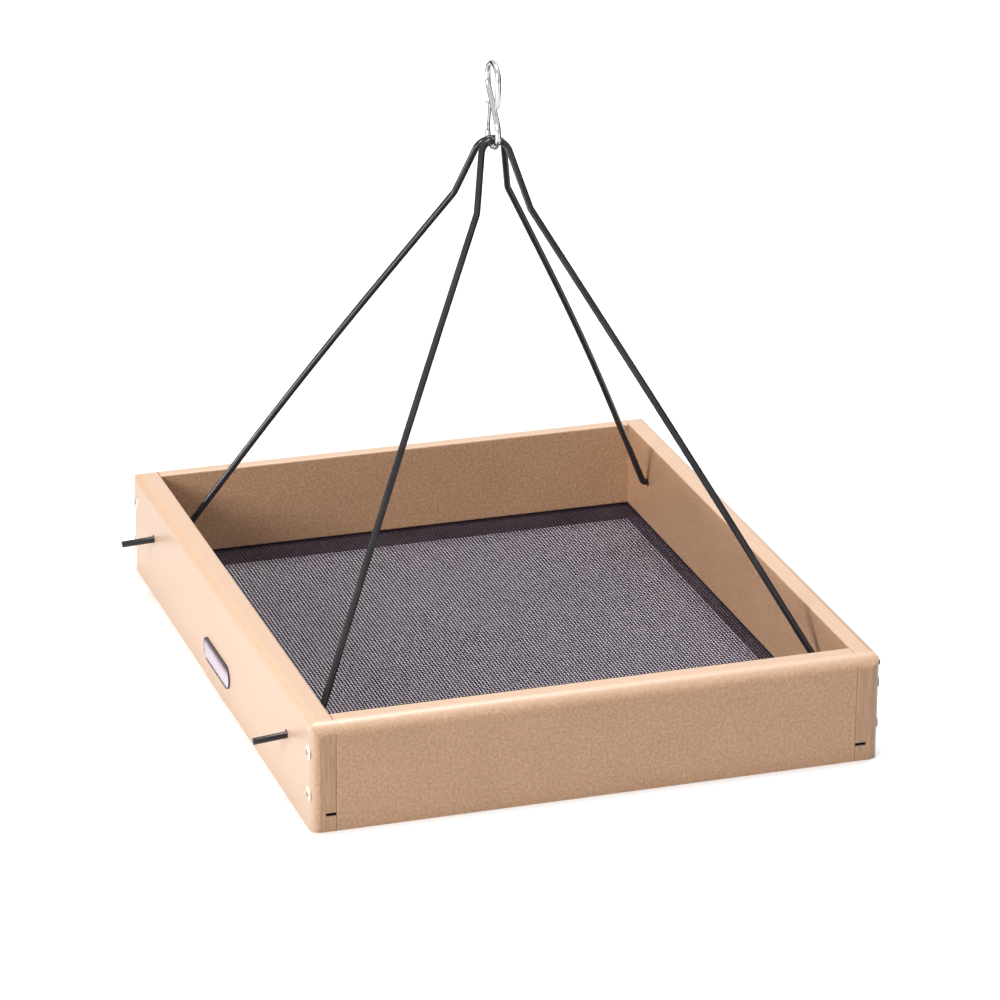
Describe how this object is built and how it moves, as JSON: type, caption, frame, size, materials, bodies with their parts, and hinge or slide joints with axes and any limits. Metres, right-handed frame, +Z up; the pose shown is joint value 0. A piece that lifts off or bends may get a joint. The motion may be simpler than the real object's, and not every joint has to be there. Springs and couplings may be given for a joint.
{
  "type": "platform bird feeder",
  "caption": "Hanging platform bird feeder: open recycled-plastic tray with a mesh floor, carried by two bent wire hangers that meet in an S-hook.",
  "frame": {"origin": "middle of the tray's underside, on the surface that it rests on", "axes": "+X towards the right board, +Y towards the back board along the tray's depth, +Z up through the hook"},
  "size_m": [0.2842, 0.305, 0.2809],
  "materials": {
    "board": "tan recycled plastic with a fine mottle and a satin sheen",
    "mesh": "dark coated insect mesh",
    "hanger_wire": "black powder coat with a soft gloss",
    "hook": "bright plated wire",
    "screw": "zinc-plated steel",
    "badge": "polished bare metal"
  },
  "bodies": {
    "tray": {"left_board": "board", "right_board": "board", "front_board": "board", "back_board": "board", "mesh_floor": "mesh", "front_hanger": "hanger_wire", "back_hanger": "hanger_wire", "side_badge": "badge", "screw_front_left_lower": "screw", "screw_front_left_upper": "screw", "screw_front_right_lower": "screw", "screw_front_right_upper": "screw", "screw_back_left_lower": "screw", "screw_back_left_upper": "screw", "screw_back_right_lower": "screw", "screw_back_right_upper": "screw"},
    "hook": {"s_hook": "hook"}
  },
  "joints": [
    {"name": "hook_swing", "type": "hinge", "parent": "tray", "child": "hook", "pos_m": [0, 0, 0.24942], "axis": [1, 0, 0], "continuous": true}
  ]
}
